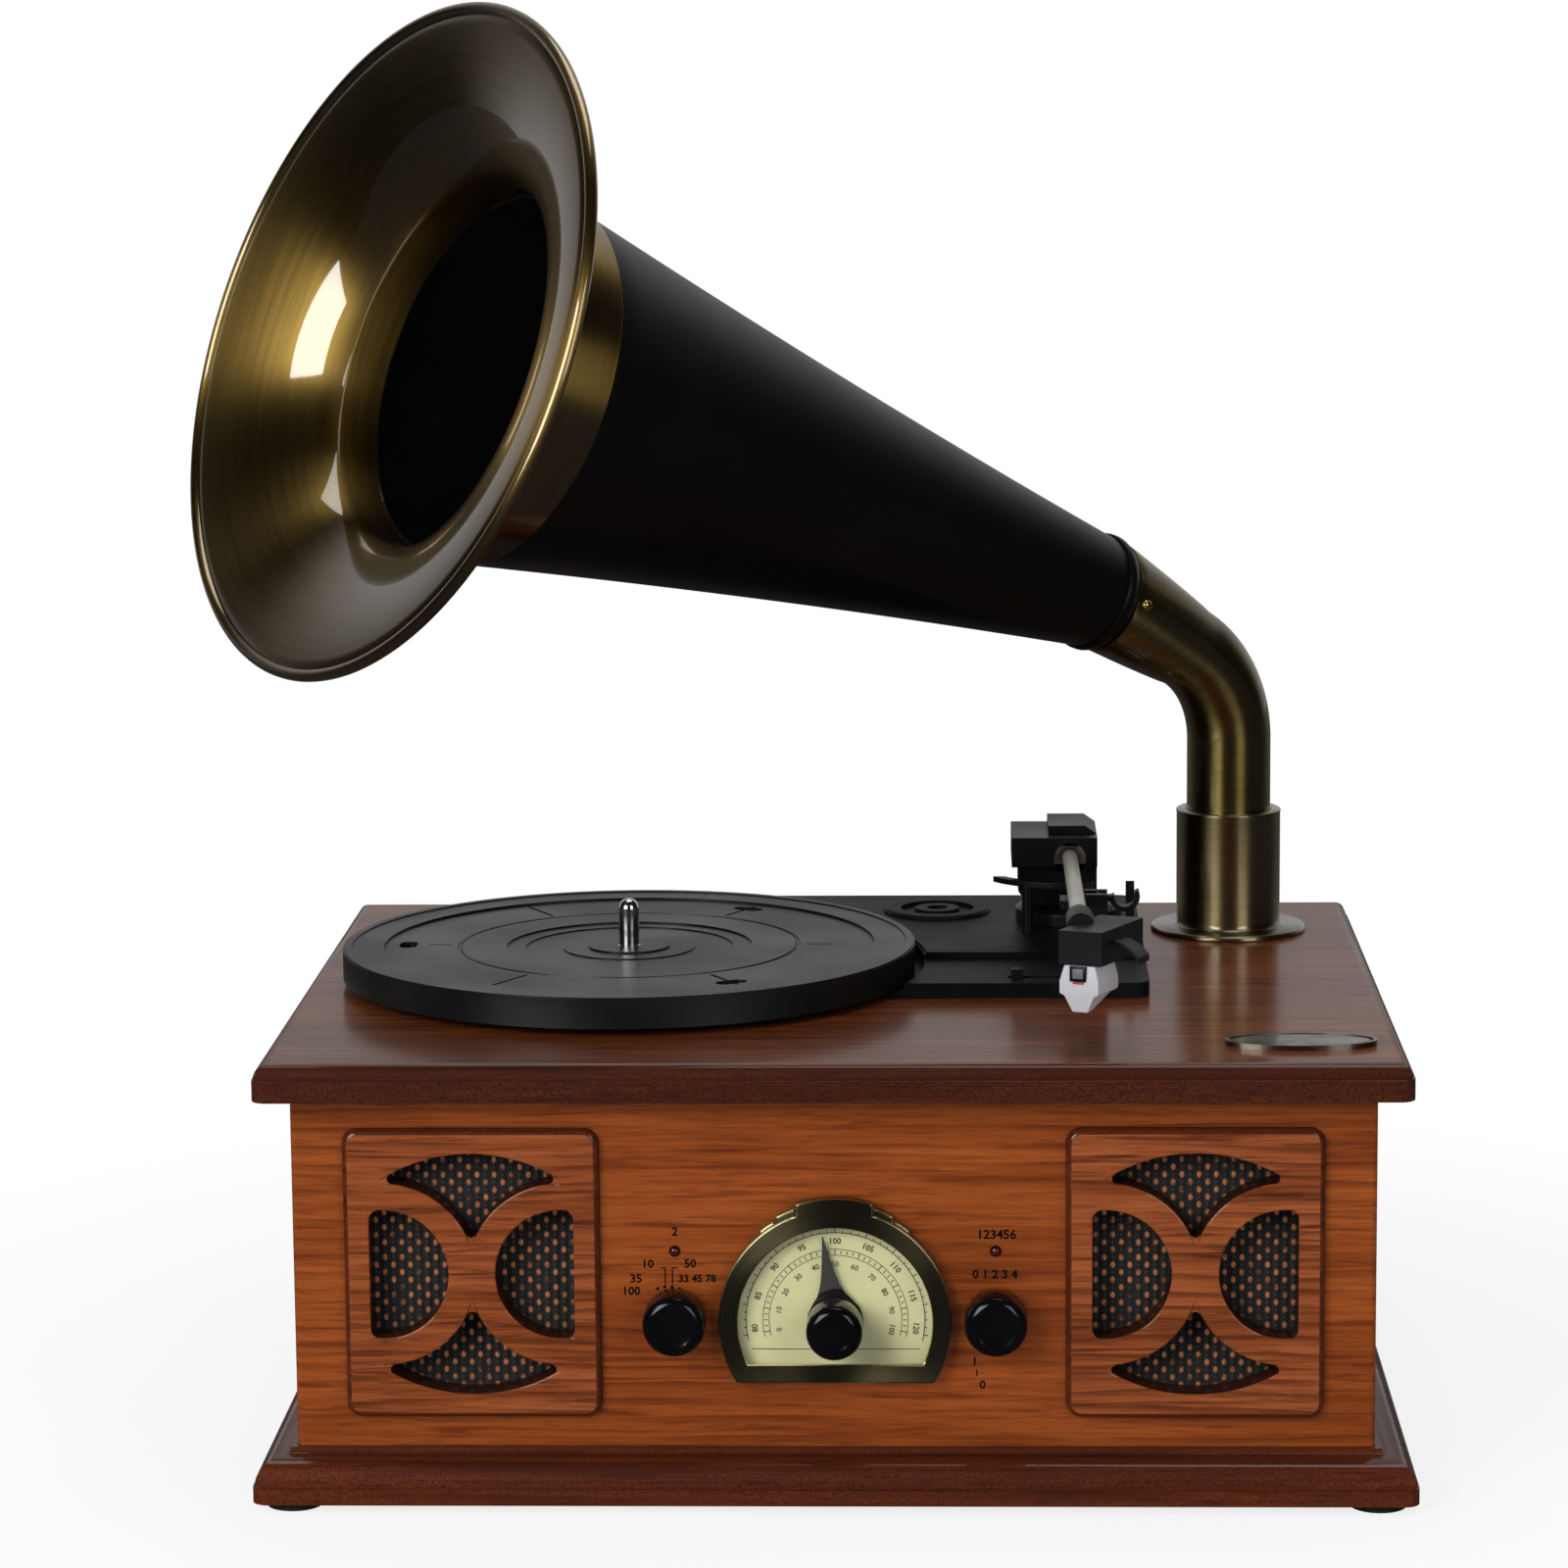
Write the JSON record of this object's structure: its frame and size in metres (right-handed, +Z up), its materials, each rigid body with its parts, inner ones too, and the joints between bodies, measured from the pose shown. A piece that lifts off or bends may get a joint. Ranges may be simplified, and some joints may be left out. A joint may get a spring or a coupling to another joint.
{
  "type": "horn gramophone music centre",
  "caption": "Wooden horn gramophone with a radio dial, fretted speakers, a record deck with tonearm and a swivelling brass-edged horn.",
  "frame": {"origin": "middle of the cabinet's plan, on the surface that the rubber feet stand on", "axes": "+Z up, -Y toward the front with the radio dial, +X to the right as seen from the front"},
  "size_m": [0.3987, 0.3537, 0.478],
  "materials": {
    "veneer": "satin oak-like veneer, dark level grain",
    "dark_wood": "gloss dark red-brown lacquer",
    "panel_board": "plain stained board",
    "steel": "turned and plated",
    "foot_rubber": "matte",
    "cloth": "black strands with small copper dots",
    "sheet_steel": "zinc grey",
    "cone_paper": "matte dark paper",
    "magnet": "matte",
    "antique_brass": "brushed, smoky toward the edges",
    "turned_brass": "turned",
    "lens": "clear and gloss",
    "dial_print": "printed cream-green",
    "knob_black": "polished",
    "lamp_red": "unlit dark red",
    "pewter": "dull pewter",
    "deck_plastic": "satin black",
    "grey_plastic": "satin dark grey",
    "belt_rubber": "matte",
    "arm_grey": "light warm grey",
    "cartridge_white": "pale grey",
    "horn_black": "satin black",
    "circuit": "green board with dark parts"
  },
  "bodies": {
    "cabinet": {"plinth_moulding": "dark_wood", "base_panel": "panel_board", "front_panel": "veneer", "left_side_panel": "veneer", "right_side_panel": "veneer", "back_panel": "panel_board", "back_panel_screws": "steel", "top_board": "dark_wood", "rubber_feet": "foot_rubber", "foot_screws": "steel", "left_speaker_fret": "veneer", "right_speaker_fret": "veneer", "left_grille_cloth": "cloth", "right_grille_cloth": "cloth", "left_speaker_frame": "sheet_steel", "right_speaker_frame": "sheet_steel", "left_speaker_cone": "cone_paper", "right_speaker_cone": "cone_paper", "left_speaker_magnet": "magnet", "right_speaker_magnet": "magnet", "dial_bezel": "antique_brass", "dial_lens": "lens", "dial_scale_plate": "dial_print", "tuning_gang": "sheet_steel", "selector_switch": "sheet_steel", "volume_control": "sheet_steel", "stereo_lamp": "lamp_red", "power_lamp": "lamp_red", "name_plate": "pewter", "deck_chassis": "deck_plastic", "spindle_bearing": "turned_brass", "drive_belt": "belt_rubber", "motor_body": "sheet_steel", "tonearm_foot": "grey_plastic", "arm_rest": "deck_plastic", "horn_socket": "antique_brass", "radio_chassis": "circuit"},
    "turntable": {"platter": "deck_plastic", "record_spindle": "steel"},
    "motor_rotor": {"motor_pulley": "turned_brass"},
    "arm_base": {"arm_turret": "deck_plastic", "turret_cover": "deck_plastic", "arm_pivot_pin": "steel"},
    "tonearm": {"arm_tube": "arm_grey", "headshell": "deck_plastic", "cartridge": "cartridge_white"},
    "cueing_lever": {"cue_lever": "deck_plastic"},
    "lift_bar": {"cue_lift_bar": "grey_plastic"},
    "speed_switch": {"speed_lever": "deck_plastic"},
    "large_hole_adapter": {"adapter_45": "deck_plastic"},
    "rest_clip": {"arm_clip": "deck_plastic"},
    "tuner": {"tuning_knob": "knob_black", "tuning_pointer": "knob_black", "tuning_shaft": "steel"},
    "selector": {"selector_knob": "knob_black"},
    "volume": {"volume_knob": "knob_black"},
    "horn": {"horn_elbow": "antique_brass", "neck_ring": "horn_black", "horn_cone": "horn_black", "horn_bell": "antique_brass"}
  },
  "joints": [
    {"name": "platter_spin", "type": "hinge", "parent": "cabinet", "child": "turntable", "pos_m": [-0.0726, -0.0015, 0.159], "axis": [0, 0, 1], "continuous": true},
    {"name": "motor_spin", "type": "hinge", "parent": "cabinet", "child": "motor_rotor", "pos_m": [0.0094, -0.0015, 0.15], "axis": [0, 0, 1], "continuous": true},
    {"name": "arm_swing", "type": "hinge", "parent": "cabinet", "child": "arm_base", "pos_m": [0.0796, 0.068, 0.16], "axis": [0, 0, -1], "range_deg": [0, 50]},
    {"name": "arm_lift", "type": "hinge", "parent": "arm_base", "child": "tonearm", "pos_m": [0.0796, 0.068, 0.1776], "axis": [-1, 0, 0], "range_deg": [0, 8]},
    {"name": "cue_lever_tilt", "type": "hinge", "parent": "cabinet", "child": "cueing_lever", "pos_m": [0.1004, 0.043, 0.1554], "axis": [-1, 0, 0], "range_deg": [0, 40]},
    {"name": "lift_bar_rise", "type": "slide", "parent": "cabinet", "child": "lift_bar", "axis": [0, 0, 1], "range_m": [0, 0.0034]},
    {"name": "speed_slide", "type": "slide", "parent": "cabinet", "child": "speed_switch", "axis": [1, 0, 0], "range_m": [0, 0.012]},
    {"name": "adapter_lift", "type": "slide", "parent": "cabinet", "child": "large_hole_adapter", "axis": [0, 0, 1], "range_m": [0, 0.025]},
    {"name": "clip_fold", "type": "hinge", "parent": "cabinet", "child": "rest_clip", "pos_m": [0.0876, -0.022, 0.17699], "axis": [0, -1, 0], "range_deg": [0, 148]},
    {"name": "tuning_turn", "type": "hinge", "parent": "cabinet", "child": "tuner", "pos_m": [0.0007, -0.137, 0.0608], "axis": [0, -1, 0], "range_deg": [-108, 92]},
    {"name": "selector_turn", "type": "hinge", "parent": "cabinet", "child": "selector", "pos_m": [-0.0505, -0.137, 0.0616], "axis": [0, -1, 0], "range_deg": [0, 90]},
    {"name": "volume_turn", "type": "hinge", "parent": "cabinet", "child": "volume", "pos_m": [0.0519, -0.137, 0.0616], "axis": [0, 1, 0], "range_deg": [0, 300]},
    {"name": "horn_swivel", "type": "hinge", "parent": "cabinet", "child": "horn", "pos_m": [0.1371, 0.0875, 0.19], "axis": [0, 0, 1], "range_deg": [-90, 90]}
  ],
  "couplings": [
    {"joint": "motor_spin", "follows": "platter_spin", "ratio": 14.2},
    {"joint": "cue_lever_tilt", "follows": "lift_bar_rise", "rad_per_m": 205.3}
  ]
}
